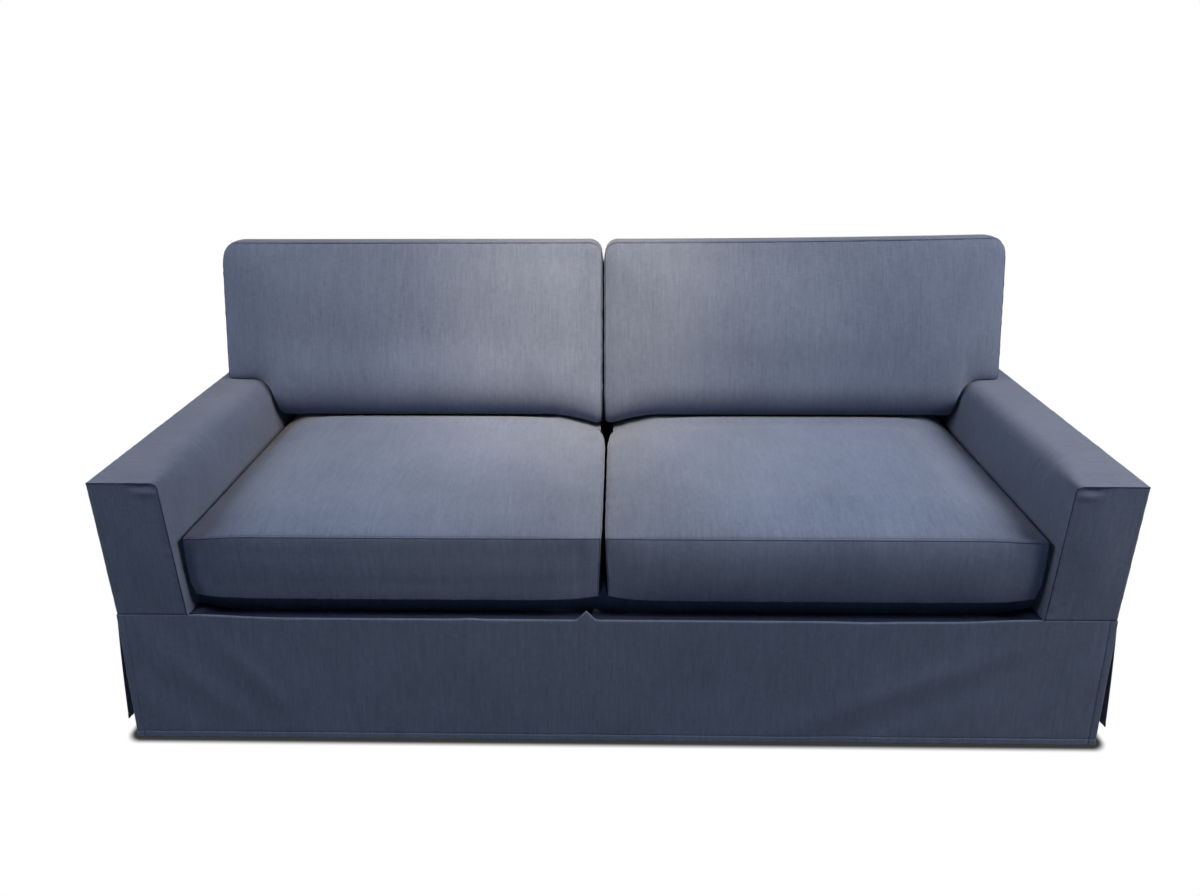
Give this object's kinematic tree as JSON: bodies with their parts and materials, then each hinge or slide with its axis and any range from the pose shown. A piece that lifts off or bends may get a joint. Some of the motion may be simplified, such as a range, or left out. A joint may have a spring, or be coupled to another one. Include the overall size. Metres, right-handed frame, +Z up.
{
  "type": "sofa slipcover",
  "caption": "Fitted slipcover of a track-arm sofa, hollow underneath, with crowned box seat and back cushions and a floor-length skirt split at the corners.",
  "frame": {"origin": "underside of the back's top band, in the middle of the cover's width, where the sofa's top back rail holds the cover up", "axes": "+X to the right seen from the front, +Y from the arm fronts to the back, +Z up; the floor is 0.848 m below the origin"},
  "size_m": [2.15, 0.9886, 0.9416],
  "materials": {
    "cover_cloth": "plain slate-blue linen-weave upholstery cloth with fine slubs, matt with a faint sheen",
    "cushion_cloth": "the same slate-blue linen-weave cloth, filled, with plain self-colour seams"
  },
  "bodies": {
    "root": {"arm_front_left": "cover_cloth", "arm_front_right": "cover_cloth", "arm_cover_left": "cover_cloth", "arm_cover_right": "cover_cloth", "arm_outside_left": "cover_cloth", "arm_outside_right": "cover_cloth", "back_end_left": "cover_cloth", "back_end_right": "cover_cloth", "back_outside": "cover_cloth", "back_top": "cover_cloth", "deck": "cover_cloth", "inside_back": "cover_cloth", "skirt_back": "cover_cloth", "skirt_front": "cover_cloth", "skirt_side_left": "cover_cloth", "skirt_side_right": "cover_cloth", "seat_cushion_left": "cushion_cloth", "seat_cushion_right": "cushion_cloth", "back_cushion_left": "cushion_cloth", "back_cushion_right": "cushion_cloth"}
  },
  "joints": []
}
